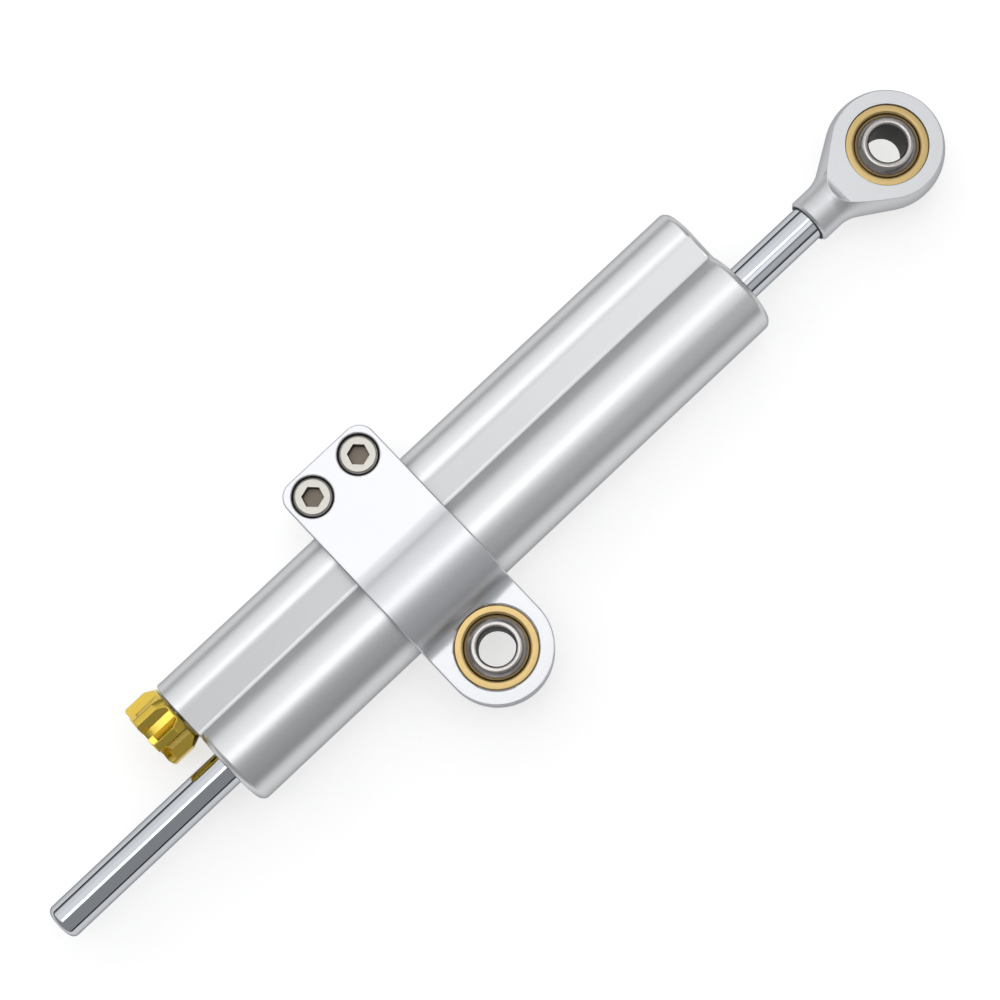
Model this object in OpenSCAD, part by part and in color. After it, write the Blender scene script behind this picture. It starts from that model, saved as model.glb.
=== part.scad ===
// Linear steering damper: twin-tube body, through rod, clamp with an eye, rod eye and a
// damping knob. The origin is the centre of the clamp eye's ball. +X runs along the rod
// to the rod eye, +Y from the clamp eye across the body, +Z along the clamp eye's bolt.

/* [Body] */
// Length of the twin-tube body
body_length = 145.6; // [135:0.1:160]
// Distance from the knob end of the body to the clamp eye's centre
clamp_place = 56.7; // [40:0.1:70]
// Distance from the clamp eye's centre to the rod axis
rod_offset = 20.4; // [20.2:0.1:22]
// Outside diameter of the large tube
large_tube_d = 20.4; // [20.2:0.1:21]
// Outside diameter of the small tube
small_tube_d = 14; // [13.8:0.1:15]
// Distance between the two tube axes
tube_spacing = 15.5; // [15.4:0.1:16]
// Slope of the web's faces towards the large tube, in degrees
web_slope = 8.9; // [7:0.1:10]
// Fillet between the web and the large tube
web_fillet_r = 1.4; // [1:0.1:1.8]
// Chamfer round the ends of the body
body_chamfer = 1; // [0.6:0.1:1.2]
// Chamfer on the small tube's end behind the knob
knob_end_chamfer = 0.3; // [0.1:0.05:1]
// Working bore of the large tube
piston_bore_d = 16; // [15.6:0.1:16.2]

/* [Rod and piston] */
// Diameter of the rod
rod_d = 8; // [7.8:0.1:8]
// Length of rod that stands out past the knob end of the body
rod_tail = 47.3; // [45:0.1:60]
// Length of rod that shows between the body and the rod eye
rod_show = 20.4; // [20:0.1:30]
// Chamfer on the rod's free end
rod_chamfer = 1.2; // [0.5:0.1:1.5]
// Length of the piston
piston_length = 12; // [11:0.5:13]
// Distance from the clamp eye's centre to the middle of the piston
piston_place = 20; // [10:0.5:20]
// Width of the piston band
band_width = 6; // [5:0.5:7]

/* [Rod eye] */
// Distance from the shank's mouth to the centre of the eye
shank_length = 22.6; // [22:0.1:26]
// Diameter of the shank
shank_d = 10.3; // [10:0.1:10.8]
// Diameter of the round head
head_d = 25.4; // [25:0.1:27]
// Angle of the neck between shank and head, in degrees
neck_angle = 32; // [30:0.5:33]
// Radius where the neck runs into the shank
neck_fillet_r = 8; // [6:0.5:9]
// Thickness across the flats of either eye
eye_width = 10; // [9.6:0.1:10.4]
// Distance from the eye's centre to where the flats' cut starts on the shank
flat_reach = 16.9; // [16.4:0.1:17.4]
// Radius at the shank end of the flats
runout_r = 3; // [2:0.5:3.5]

/* [Ball joints] */
// Bolt bore through each ball
ball_bore_d = 8; // [7.8:0.1:8.2]
// Width of each ball
ball_width = 12; // [11.6:0.1:12.2]
// Diameter of each ball
ball_d = 15.9; // [15.6:0.1:16]
// Outside diameter of each race
race_d = 17.5; // [17.4:0.1:18]
// Width of each race
race_width = 9; // [8.6:0.1:9.4]

/* [Clamp] */
// Width of the clamp along the rod
clamp_width = 24; // [23.6:0.1:26]
// Thickness of the clamp across its flat faces
clamp_thick = 19.6; // [19.2:0.1:20.4]
// Outside diameter of the clamp round the large tube
clamp_bulge_d = 24.8; // [24.6:0.1:25.6]
// Length of the ears past the small tube
ear_length = 10.7; // [10.5:0.1:13]
// Radius on the ears' corners
ear_corner_r = 3.8; // [2:0.1:5]
// Width of the slit between the ears
slit_width = 1.8; // [1:0.1:2.5]
// Distance from the ears' ends to the screws
screw_inset = 5.45; // [5.3:0.05:5.8]
// Distance between the two screws
screw_pitch = 12.8; // [12.4:0.1:13.6]
// Diameter of the screws' threads
screw_d = 5; // [4.8:0.1:5.2]
// Diameter of the screws' heads
screw_head_d = 8.3; // [8:0.1:8.6]

/* [Knob and valve] */
// Outside diameter of the knob
knob_d = 15.8; // [15.4:0.1:16.4]
// Length of the knob
knob_length = 7.8; // [7.4:0.1:9]
// Diameter of the knob where it meets the body
knob_base_d = 13.3; // [12.5:0.1:14]
// Length of the taper at the knob's base
knob_taper = 2.3; // [1.5:0.1:2.8]
// Gap between the knob and the body
knob_gap = 0.4; // [0.3:0.05:0.8]
// Number of flutes round the knob
flute_count = 7; // [6:1:8]
// Distance from the knob's axis to a flute's floor
flute_floor = 6.1; // [5.8:0.1:6.3]
// Width of a flute's floor
flute_floor_width = 1.7; // [1.4:0.1:2]
// Width of a flute's mouth
flute_width = 5.2; // [4.6:0.1:5.4]
// Length of the dip at the outer end of each flute's floor
flute_dip = 1.9; // [1:0.1:2.5]
// Length of the valve cartridge in the small tube
cartridge_length = 30; // [29:0.5:34]
// Diameter of the spindle that the knob turns
spindle_d = 4.9; // [4.7:0.1:5]

/* [Hidden] */
$fn = 96;

// Clearances and small overlaps
running_fit = 0.05;
seat_fit = 0.03;
ring_fit = 0.02;
clamp_fit = 0.05;
cut_over = 1;
arc_bite = 0.02;
web_step = 0.04;

// Places along X and across the body
body_left = -clamp_place;
body_right = body_left + body_length;
rod_left = body_left - rod_tail;
mouth_x = body_right + rod_show;
eye_x = mouth_x + shank_length;
large_r = large_tube_d / 2;
small_r = small_tube_d / 2;
rod_r = rod_d / 2;
race_seat_r = race_d / 2 + seat_fit;

// Rod guides and what they hold, measured from the body's end
guide_step = 0.5;
guide_r = piston_bore_d / 2 + guide_step;
guide_depth = 16;
clip_start = 1.2;
clip_thick = 1.2;
clip_slot = 1.3;
clip_groove_depth = 0.7;
clip_groove_r = guide_r + clip_groove_depth;
guide_start = clip_start + clip_slot;
packing_r = 6.3;
wiper_depth = 3;
seal_start = 10.5;
seal_length = 3.5;
guide_ring_start = 6.2;
guide_ring_width = 2.4;
guide_ring_depth = 1.4;
guide_ring_floor = guide_r - guide_ring_depth;

// Valve parts, measured from the body's knob end
small_bore_r = 4.5;
cartridge_r = 5.2;
cavity_r = 3.3;
cavity_start = 10;
seat_depth = 5;
seat_start = cartridge_length - seat_depth;
seat_taper = 1;
seat_flare = 0.8;
port_r = 1.2;
port_behind = 6.5;
port_place = cartridge_length - port_behind;
port_wall = 0.4;
right_port_x = body_right - guide_depth - port_r - port_wall;
ring_place = 7;
last_ring_behind = 3.2;
cartridge_ring_starts = [ring_place, cartridge_length - last_ring_behind];
valve_ring_width = 2;
valve_ring_floor = 4.3;
valve_ring_r = (cartridge_r - valve_ring_floor) / 2;
plug_length = 12;
plug_sink = 0.6;
plug_hex = 4;
collar_length = 1.45;
collar_play = 0.15;
collar_start = cavity_start + collar_play;
hex_drive = 2.5;
hex_drive_play = 2.2;
hex_fit = 0.1;
collar_end = collar_start + collar_length;
collar_room_end = collar_end + 0.4;
needle_r = 2.1;
needle_bore_r = needle_r + running_fit;
needle_gap = 1.5;
needle_back = 6.3;
needle_end_wall = 1.3;
needle_start = collar_end + needle_gap;
needle_end = seat_start - needle_back;
needle_socket_depth = needle_end - needle_start - needle_end_wall;
hex_drive_length = needle_gap + needle_socket_depth - hex_drive_play;
spindle_ring_start = 3.4;
spindle_ring_width = 1.7;
spindle_ring_depth = 0.75;

// Knob
knob_r = knob_d / 2;
knob_outer = -(knob_gap + knob_length);
knob_recess = 1.6;
knob_web = 1;
knob_screw_d = 3;
knob_screw_head_h = 1.4;
knob_screw_hex = 2;
knob_screw_hex_depth = 1;
knob_screw_grip = 5;
knob_recess_r = 3;
knob_recess_gap = 0.2;
screw_spare = 1;
flute_rim = 0.55;
flute_dip_slope = 20;
flute_block_rise = 1.25;
flute_block_length = 1.5;
spindle_end = knob_outer + knob_recess + knob_web;

// Piston
piston_play = 0.2;
piston_r = piston_bore_d / 2 - piston_play;
piston_edge = 0.6;
band_depth = 1.25;
band_floor = piston_r - band_depth;
piston_clip_thick = 1;
piston_clip_wall = 1.7;
piston_clip_mouth = 3.2;
piston_clip_bite = 0.4;
piston_clip_floor = rod_r - piston_clip_bite;
piston_clip_starts = [piston_place - piston_length / 2 - piston_clip_thick, piston_place + piston_length / 2];

// How the rod sits in its eye
rod_in_eye = 10.7;
rod_end_edge = 0.5;
eye_socket_spare = 0.3;
eye_mouth_depth = 0.9;
eye_mouth_step = 0.6;

// Clamp
clamp_half = clamp_thick / 2;
bulge_r = clamp_bulge_d / 2;
eye_half = eye_width / 2;
ear_fillet_r = 6.5;
eye_fillet_r = 3.5;
screw_head_h = 5;
screw_hex = 4;
screw_hex_depth = 2.6;
screw_hex_turn = 15;
screw_head_gap = 0.25;
counterbore_r = screw_head_d / 2 + screw_head_gap;
ear_reach = tube_spacing + small_r + ear_length;
screw_reach = ear_reach - screw_inset;
screw_tip = 8.6;
race_seat_chamfer = 0.4;

module at_rod() {
    translate([0, rod_offset, 0]) children();
}

module at_small() {
    translate([0, rod_offset + tube_spacing, 0]) children();
}

// Turns a drawing of radius and length about an axis along X
module turned(start = 0) {
    translate([start, 0, 0]) rotate([0, 90, 0]) rotate_extrude() children();
}

module bar(r, from, to) {
    translate([from, 0, 0]) rotate([0, 90, 0]) cylinder(h = to - from, r = r);
}

// Places a part that is drawn from the body's left end inwards at either end
module at_end(right) {
    if (right) translate([body_right, 0, 0]) mirror([1, 0, 0]) children();
    else translate([body_left, 0, 0]) children();
}

module hexagon(across_flats) {
    circle(r = across_flats / 2 / cos(30), $fn = 6);
}

module hex_bar(across_flats, from, to) {
    translate([from, 0, 0]) rotate([0, 90, 0]) linear_extrude(to - from) hexagon(across_flats);
}

// Fills the hollow between two points of an outline up to an arc about a centre
module fillet_fill(inner_a, tangent_a, centre, tangent_b, inner_b, r) {
    difference() {
        polygon([inner_a, tangent_a, centre, tangent_b, inner_b]);
        translate(centre) circle(r = r + arc_bite);
    }
}

module both_faces() {
    children();
    mirror([0, 1]) children();
}

// Web between the tubes in Y and Z, with its fillets, measured from the rod axis
module web_section(grow) {
    big = large_r + grow;
    small = small_r + grow - web_step;
    fillet = web_fillet_r - grow;
    high = small - tube_spacing * sin(web_slope) + fillet;
    along = sqrt((big + fillet) * (big + fillet) - high * high);
    centre_y = along * cos(web_slope) - high * sin(web_slope);
    centre_z = high * cos(web_slope) + along * sin(web_slope);
    on_web = [centre_y + fillet * sin(web_slope), centre_z - fillet * cos(web_slope)];
    on_tube = [centre_y, centre_z] * big / (big + fillet);
    start = [tube_spacing - small * sin(web_slope), small * cos(web_slope)];
    root_z = start[1] - start[0] * tan(web_slope);
    polygon([start, [0, root_z], [0, -root_z], [start[0], -start[1]]]);
    both_faces() fillet_fill([on_tube[0], 0], on_tube, [centre_y, centre_z], on_web, [on_web[0], 0], fillet);
}

// Whole outline of the body, grown by a clearance
module body_section(grow) {
    circle(r = large_r + grow);
    translate([tube_spacing, 0]) circle(r = small_r + grow);
    web_section(grow);
}

module chamfered_bar(r, left_chamfer) {
    turned(body_left) polygon([
        [0, 0], [r - left_chamfer, 0], [r, left_chamfer],
        [r, body_length - body_chamfer], [r - body_chamfer, body_length], [0, body_length]
    ]);
}

// Wedge that takes an edge off the web's face at the left end
module web_edge_cut(chamfer) {
    face_z = small_r * cos(web_slope) - (tube_spacing - small_r * sin(web_slope)) * tan(web_slope);
    translate([body_left, 0, face_z])
        rotate([web_slope, 0, 0])
            rotate([90, 0, 0])
                linear_extrude(height = 4 * large_r, center = true)
                    polygon([
                        [-cut_over, -chamfer - cut_over],
                        [chamfer + 3 * cut_over, 3 * cut_over],
                        [-cut_over, 3 * cut_over]
                    ]);
}

module web_ends_cut() {
    for (flip = [0, 1]) {
        mirror([0, 0, flip]) web_edge_cut(knob_end_chamfer);
        translate([body_left + body_right, 0, 0]) mirror([1, 0, 0]) mirror([0, 0, flip])
            web_edge_cut(body_chamfer);
    }
}

module damper_body() {
    color("Silver") at_rod() difference() {
        union() {
            chamfered_bar(large_r, body_chamfer);
            translate([0, tube_spacing, 0]) chamfered_bar(small_r, knob_end_chamfer);
            difference() {
                translate([body_left, 0, 0]) rotate([90, 0, 90]) linear_extrude(body_length) web_section(0);
                web_ends_cut();
            }
        }
        bar(piston_bore_d / 2, body_left - cut_over, body_right + cut_over);
        for (right = [false, true]) at_end(right) {
            bar(guide_r, -cut_over, guide_depth);
            bar(clip_groove_r, clip_start, clip_start + clip_slot);
        }
        translate([0, tube_spacing, 0]) {
            bar(small_bore_r, body_left - cut_over, body_right + cut_over);
            bar(cartridge_r + seat_fit, body_left - cut_over, body_left + cartridge_length);
            bar(cartridge_r + seat_fit, body_right - plug_length - plug_sink, body_right + cut_over);
        }
        for (x = [body_left + port_place, right_port_x])
            translate([x, tube_spacing, 0]) rotate([90, 0, 0])
                cylinder(h = tube_spacing - piston_bore_d / 4, r = port_r);
    }
}

module guide_drawing() {
    outer = guide_r - seat_fit;
    inner = rod_r + running_fit;
    polygon([
        [inner, guide_start + wiper_depth], [packing_r, guide_start + wiper_depth], [packing_r, guide_start],
        [outer, guide_start], [outer, guide_ring_start], [guide_ring_floor, guide_ring_start],
        [guide_ring_floor, guide_ring_start + guide_ring_width], [outer, guide_ring_start + guide_ring_width],
        [outer, guide_depth], [inner, guide_depth], [inner, seal_start + seal_length],
        [packing_r, seal_start + seal_length], [packing_r, seal_start], [inner, seal_start]
    ]);
}

module rod_guide(right) {
    color("DarkGoldenrod") at_rod() at_end(right) turned() guide_drawing();
}

module guide_o_ring(right) {
    wall = guide_ring_depth / 2;
    color("Black") at_rod() at_end(right) turned()
        translate([guide_ring_floor + wall, guide_ring_start + guide_ring_width / 2])
            circle(r = wall - ring_fit, $fn = 48);
}

module rod_seal(right) {
    inner = rod_r + running_fit;
    outer = packing_r - seat_fit;
    middle = (inner + outer) / 2;
    tip = seal_start + seal_length - seat_fit;
    groove_half = 0.45;
    groove_depth = 1.35;
    color("DarkSlateGray") at_rod() at_end(right) turned() polygon([
        [inner, seal_start + seat_fit], [outer, seal_start + seat_fit], [outer, tip],
        [middle + groove_half, tip], [middle, tip - groove_depth], [middle - groove_half, tip], [inner, tip]
    ]);
}

module rod_wiper(right) {
    inner = rod_r + running_fit;
    outer = packing_r - seat_fit;
    base = guide_start + wiper_depth - seat_fit;
    lip_tip = 0.55;
    lip_root = 1.15;
    color("DimGray") at_rod() at_end(right) turned() polygon([
        [inner, clip_start], [inner + lip_tip, clip_start], [inner + lip_root, guide_start],
        [outer, guide_start], [outer, base], [inner, base]
    ]);
}

// Spring clip with an open gap and two lugs, seen along the rod
module circlip_drawing() {
    gap_angle = 26;
    lug_step = 9;
    lug_angle = gap_angle + lug_step;
    lug_inset = 1.45;
    lug_place = guide_r - lug_inset;
    lug_r = 1.3;
    lug_hole_r = 0.6;
    ring_inset = 1;
    difference() {
        union() {
            difference() {
                circle(r = clip_groove_r - running_fit);
                circle(r = guide_r - ring_inset);
                polygon([
                    [0, 0], [2 * guide_r * cos(gap_angle), 2 * guide_r * sin(gap_angle)],
                    [2 * guide_r * cos(gap_angle), -2 * guide_r * sin(gap_angle)]
                ]);
            }
            for (side = [-1, 1]) rotate(side * lug_angle)
                translate([lug_place, 0]) circle(r = lug_r, $fn = 48);
        }
        for (side = [-1, 1]) rotate(side * lug_angle)
            translate([lug_place, 0]) circle(r = lug_hole_r, $fn = 32);
    }
}

module circlip(right) {
    color("SlateGray") at_rod() at_end(right)
        translate([clip_start + clip_slot - clip_thick, 0, 0]) rotate([0, 90, 0])
            linear_extrude(clip_thick) circlip_drawing();
}

module piston_rod() {
    rod_right = mouth_x + rod_in_eye;
    color("Gainsboro") at_rod() difference() {
        turned(rod_left) polygon([
            [0, 0], [rod_r - rod_chamfer, 0], [rod_r, rod_chamfer],
            [rod_r, rod_right - rod_left - rod_end_edge], [rod_r - rod_end_edge, rod_right - rod_left],
            [0, rod_right - rod_left]
        ]);
        for (x = piston_clip_starts)
            turned(x) translate([piston_clip_floor, 0]) square([rod_r, piston_clip_thick]);
    }
}

module piston() {
    half = piston_length / 2;
    groove = (band_width + 2 * running_fit) / 2;
    inner = rod_r + ring_fit;
    color("LightSteelBlue") at_rod() turned(piston_place) polygon([
        [inner, -half], [piston_r - piston_edge, -half], [piston_r, -half + piston_edge],
        [piston_r, -groove], [band_floor, -groove], [band_floor, groove], [piston_r, groove],
        [piston_r, half - piston_edge], [piston_r - piston_edge, half], [inner, half]
    ]);
}

module piston_clips() {
    color("SlateGray") at_rod()
        for (x = piston_clip_starts)
            translate([x, 0, 0]) rotate([0, 90, 0]) linear_extrude(piston_clip_thick) difference() {
                circle(r = rod_r + piston_clip_wall);
                circle(r = piston_clip_floor + ring_fit);
                translate([0, -piston_clip_mouth / 2]) square([2 * rod_r, piston_clip_mouth]);
            }
}

module piston_band() {
    color("Sienna") at_rod() turned(piston_place)
        translate([band_floor + running_fit, -band_width / 2])
            square([piston_bore_d / 2 - band_floor - 2 * running_fit, band_width]);
}

// Half outline of the rod eye's shank and neck, length measured from the eye's centre
module neck_drawing() {
    shank_r = shank_d / 2;
    head_r = head_d / 2;
    top = [head_r * cos(neck_angle), -head_r * sin(neck_angle)];
    corner_x = top[1] - (top[0] - shank_r) / tan(neck_angle);
    reach = neck_fillet_r * tan(neck_angle / 2);
    on_shank = [shank_r, corner_x - reach];
    on_cone = [shank_r + reach * sin(neck_angle), corner_x + reach * cos(neck_angle)];
    centre = [shank_r + neck_fillet_r, corner_x - reach];
    mouth_edge = 0.5;
    polygon([
        [0, -shank_length], [shank_r - mouth_edge, -shank_length], [shank_r, -shank_length + mouth_edge],
        [shank_r, corner_x], top, [0, top[1]]
    ]);
    fillet_fill([shank_r - cut_over, on_shank[1]], on_shank, centre, on_cone,
        [shank_r - cut_over, on_cone[1]], neck_fillet_r);
}

// Block that a cutter takes off one face of the rod eye, with its round run-out
module flat_cut() {
    runout_x = -flat_reach + runout_r;
    translate([runout_x, -head_d, eye_half]) cube([2 * head_d, 2 * head_d, head_d]);
    translate([-flat_reach, -head_d, eye_half + runout_r]) cube([2 * head_d, 2 * head_d, head_d]);
    translate([runout_x, head_d, eye_half + runout_r]) rotate([90, 0, 0])
        cylinder(h = 2 * head_d, r = runout_r);
}

module rod_eye() {
    color("Silver") at_rod() translate([eye_x, 0, 0]) difference() {
        union() {
            turned() neck_drawing();
            sphere(d = head_d);
        }
        flat_cut();
        mirror([0, 0, 1]) flat_cut();
        cylinder(h = 2 * head_d, r = race_seat_r, center = true);
        bar(rod_r + ring_fit, -shank_length - cut_over, -shank_length + rod_in_eye + eye_socket_spare);
        bar(rod_r + eye_mouth_step, -shank_length - cut_over, -shank_length + eye_mouth_depth);
    }
}

module race() {
    outer = race_d / 2;
    half = race_width / 2;
    edge = 0.3;
    lead = 0.4;
    core = 1;
    ball_r = ball_d / 2 + running_fit;
    mouth = sqrt(ball_r * ball_r - (half - lead) * (half - lead));
    difference() {
        rotate_extrude() polygon([
            [core, -half], [outer - edge, -half], [outer, -half + edge],
            [outer, half - edge], [outer - edge, half], [core, half]
        ]);
        sphere(r = ball_r);
        for (flip = [0, 1]) mirror([0, 0, flip])
            translate([0, 0, half - lead]) cylinder(h = 2 * lead, r1 = mouth, r2 = mouth + 2 * lead);
    }
}

module ball() {
    bore = ball_bore_d / 2;
    lead = 0.4;
    difference() {
        intersection() {
            sphere(d = ball_d);
            cylinder(h = ball_width, r = ball_d, center = true);
        }
        cylinder(h = 2 * ball_width, r = bore, center = true);
        for (flip = [0, 1]) mirror([0, 0, flip])
            translate([0, 0, ball_width / 2 - lead]) cylinder(h = 2 * lead, r1 = bore, r2 = bore + 2 * lead);
    }
}

module rod_eye_race() {
    color("Gold") at_rod() translate([eye_x, 0, 0]) race();
}

module rod_eye_ball() {
    color("DimGray") at_rod() translate([eye_x, 0, 0]) ball();
}

// Centre of the arc between the bulge round the large tube and a flat face at a height
function bulge_arc(height, r, side) =
    [side * sqrt((bulge_r + r) * (bulge_r + r) - (height + r) * (height + r)), height + r];

// Metal that one such arc is then cut from
module bulge_corner(height, r, side) {
    centre = bulge_arc(height, r, side);
    on_bulge = centre * bulge_r / (bulge_r + r);
    polygon([
        [0, 0], [on_bulge[0], on_bulge[1]], centre, [centre[0], -centre[1]], [on_bulge[0], -on_bulge[1]]
    ]);
}

// Draws a section in Y and Z along the whole width of the clamp
module across_clamp() {
    translate([-clamp_width, 0, 0]) rotate([90, 0, 90]) linear_extrude(2 * clamp_width) children();
}

// Clamp before its ends are shaped: bulge, ears, eye plate and the arcs between them
module clamp_block() {
    difference() {
        union() {
            across_clamp() circle(r = bulge_r);
            across_clamp() translate([0, -clamp_half]) square([ear_reach + cut_over, clamp_thick]);
            across_clamp() translate([-rod_offset - clamp_width, -eye_half])
                square([rod_offset + clamp_width, eye_width]);
            across_clamp() bulge_corner(clamp_half, ear_fillet_r, 1);
            across_clamp() bulge_corner(eye_half, eye_fillet_r, -1);
        }
        across_clamp() both_faces() {
            translate(bulge_arc(clamp_half, ear_fillet_r, 1)) circle(r = ear_fillet_r + arc_bite);
            translate(bulge_arc(eye_half, eye_fillet_r, -1)) circle(r = eye_fillet_r + arc_bite);
        }
        across_clamp() body_section(clamp_fit);
        across_clamp() translate([tube_spacing, -slit_width / 2]) square([ear_reach, slit_width]);
    }
}

module at_screws() {
    at_rod() for (side = [-1, 1]) translate([side * screw_pitch / 2, screw_reach, 0]) children();
}

// Clamp seen from above, in X and Y
module clamp_plan() {
    far = rod_offset + ear_reach;
    half = clamp_width / 2;
    circle(r = half);
    translate([-half, 0]) square([clamp_width, far - ear_corner_r]);
    translate([-half + ear_corner_r, 0]) square([clamp_width - 2 * ear_corner_r, far]);
    for (side = [-1, 1])
        translate([side * (half - ear_corner_r), far - ear_corner_r]) circle(r = ear_corner_r);
}

module clamp() {
    color("Silver") difference() {
        intersection() {
            at_rod() clamp_block();
            linear_extrude(height = 2 * clamp_thick, center = true) clamp_plan();
        }
        cylinder(h = 2 * clamp_thick, r = race_seat_r, center = true);
        for (flip = [0, 1]) mirror([0, 0, flip]) translate([0, 0, eye_half - race_seat_chamfer])
            cylinder(h = 2 * race_seat_chamfer, r1 = race_seat_r, r2 = race_seat_r + 2 * race_seat_chamfer);
        at_screws() {
            translate([0, 0, clamp_half - screw_head_h])
                cylinder(h = screw_head_h + cut_over, r = counterbore_r);
            cylinder(h = 2 * clamp_thick, r = screw_d / 2 + running_fit, center = true);
        }
    }
}

module clamp_screws() {
    seat = clamp_half - screw_head_h;
    head_r = screw_head_d / 2;
    edge = 0.5;
    color("DarkGray") at_screws() difference() {
        rotate_extrude() polygon([
            [0, -screw_tip], [screw_d / 2 - edge, -screw_tip], [screw_d / 2, -screw_tip + edge],
            [screw_d / 2, seat], [head_r, seat], [head_r, clamp_half - edge],
            [head_r - edge, clamp_half], [0, clamp_half]
        ]);
        translate([0, 0, clamp_half - screw_hex_depth]) linear_extrude(screw_hex_depth + cut_over)
            rotate(screw_hex_turn) hexagon(screw_hex);
    }
}

module clamp_eye_race() {
    color("Gold") race();
}

module clamp_eye_ball() {
    color("DimGray") ball();
}

module valve_cartridge() {
    first = cartridge_ring_starts[0];
    second = cartridge_ring_starts[1];
    bore = spindle_d / 2 + running_fit;
    face_gap = 0.1;
    groove_r = cartridge_r - 0.6;
    cross_port_step = 0.2;
    color("BurlyWood") at_small() at_end(false) difference() {
        turned() polygon([
            [bore, face_gap], [cartridge_r, face_gap], [cartridge_r, first], [valve_ring_floor, first],
            [valve_ring_floor, first + valve_ring_width], [cartridge_r, first + valve_ring_width],
            [cartridge_r, port_place - port_r], [groove_r, port_place - port_r],
            [groove_r, port_place + port_r], [cartridge_r, port_place + port_r],
            [cartridge_r, second], [valve_ring_floor, second], [valve_ring_floor, second + valve_ring_width],
            [cartridge_r, second + valve_ring_width], [cartridge_r, cartridge_length],
            [port_r, cartridge_length], [port_r, seat_start + seat_taper], [port_r + seat_flare, seat_start],
            [needle_bore_r, seat_start], [needle_bore_r, collar_room_end], [cavity_r, collar_room_end],
            [cavity_r, cavity_start], [bore, cavity_start]
        ]);
        for (turn = [0, 90]) translate([port_place, 0, 0]) rotate([turn, 0, 0])
            cylinder(h = 4 * cartridge_r, r = port_r - cross_port_step, center = true);
    }
}

module cartridge_o_rings() {
    color("Black") at_small() at_end(false) for (start = cartridge_ring_starts)
        turned() translate([valve_ring_floor + valve_ring_r, start + valve_ring_width / 2])
            circle(r = valve_ring_r - ring_fit, $fn = 48);
}

module tube_end_plug() {
    edge = 0.4;
    hex_depth = 4;
    color("LightSteelBlue") at_small() at_end(true) difference() {
        turned() polygon([
            [0, plug_sink], [cartridge_r - edge, plug_sink], [cartridge_r, plug_sink + edge],
            [cartridge_r, ring_place], [valve_ring_floor, ring_place],
            [valve_ring_floor, ring_place + valve_ring_width], [cartridge_r, ring_place + valve_ring_width],
            [cartridge_r, plug_length], [0, plug_length]
        ]);
        hex_bar(plug_hex, -cut_over, plug_sink + hex_depth);
    }
}

module end_plug_o_ring() {
    color("Black") at_small() at_end(true) turned()
        translate([valve_ring_floor + valve_ring_r, ring_place + valve_ring_width / 2])
            circle(r = valve_ring_r - ring_fit, $fn = 48);
}

// Section of a flute in Y and Z, with the flute at the top of the knob
module flute_section() {
    floor_half = flute_floor_width / 2;
    mouth_half = flute_width / 2;
    mouth_z = sqrt(knob_r * knob_r - mouth_half * mouth_half);
    top_z = knob_r + cut_over;
    top_half = floor_half + (mouth_half - floor_half) * (top_z - flute_floor) / (mouth_z - flute_floor);
    polygon([[-floor_half, flute_floor], [floor_half, flute_floor], [top_half, top_z], [-top_half, top_z]]);
}

// One flute's cutter. It stops short of the base, dips at the outer end and leaves a block there
module flute_cut() {
    start = knob_outer - cut_over;
    floor_half = flute_floor_width / 2;
    difference() {
        union() {
            translate([start, 0, 0]) rotate([90, 0, 90])
                linear_extrude(-knob_gap - flute_rim - start) flute_section();
            translate([knob_outer + flute_dip, 0, flute_floor]) rotate([0, -flute_dip_slope, 0])
                translate([-2 * flute_dip, -floor_half, 0]) cube([2 * flute_dip, flute_floor_width, knob_r]);
        }
        translate([start, -flute_width, flute_floor - cut_over])
            cube([cut_over + flute_block_length, flute_width - floor_half, cut_over + flute_block_rise]);
    }
}

module adjuster_knob() {
    base_r = knob_base_d / 2;
    edge = 0.4;
    color("Goldenrod") at_small() at_end(false) difference() {
        turned(knob_outer) polygon([
            [0, 0], [knob_r - edge, 0], [knob_r, edge], [knob_r, knob_length - knob_taper],
            [base_r, knob_length], [0, knob_length]
        ]);
        for (i = [0 : flute_count - 1]) rotate([i * 360 / flute_count, 0, 0]) flute_cut();
        bar(spindle_d / 2 + ring_fit, spindle_end, 0);
        bar(knob_screw_d / 2 + ring_fit, knob_outer, spindle_end + cut_over);
        bar(knob_recess_r, knob_outer - cut_over, knob_outer + knob_recess);
    }
}

module knob_screw() {
    head_r = knob_recess_r - knob_recess_gap;
    seat = knob_outer + knob_recess;
    color("DarkGray") at_small() at_end(false) difference() {
        union() {
            bar(head_r, seat - knob_screw_head_h, seat);
            bar(knob_screw_d / 2, seat, spindle_end + knob_screw_grip);
        }
        hex_bar(knob_screw_hex, seat - knob_screw_head_h - cut_over,
            seat - knob_screw_head_h + knob_screw_hex_depth);
    }
}

module adjuster_spindle() {
    shaft = spindle_d / 2;
    ring_start = spindle_ring_start;
    ring_end = ring_start + spindle_ring_width;
    ring_floor = shaft - spindle_ring_depth;
    collar_r = cavity_r - collar_play;
    color("LightSlateGray") at_small() at_end(false) difference() {
        union() {
            turned() polygon([
                [0, spindle_end], [shaft, spindle_end], [shaft, ring_start], [ring_floor, ring_start],
                [ring_floor, ring_end], [shaft, ring_end], [shaft, collar_start],
                [collar_r, collar_start], [collar_r, collar_end], [0, collar_end]
            ]);
            hex_bar(hex_drive, collar_start, collar_end + hex_drive_length);
        }
        bar(knob_screw_d / 2 + ring_fit, spindle_end - cut_over, spindle_end + knob_screw_grip + screw_spare);
    }
}

module spindle_o_ring() {
    shaft = spindle_d / 2;
    wall = (spindle_ring_depth + running_fit) / 2;
    color("Black") at_small() at_end(false) turned()
        translate([shaft - spindle_ring_depth + wall, spindle_ring_start + spindle_ring_width / 2])
            circle(r = wall - ring_fit, $fn = 48);
}

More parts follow.
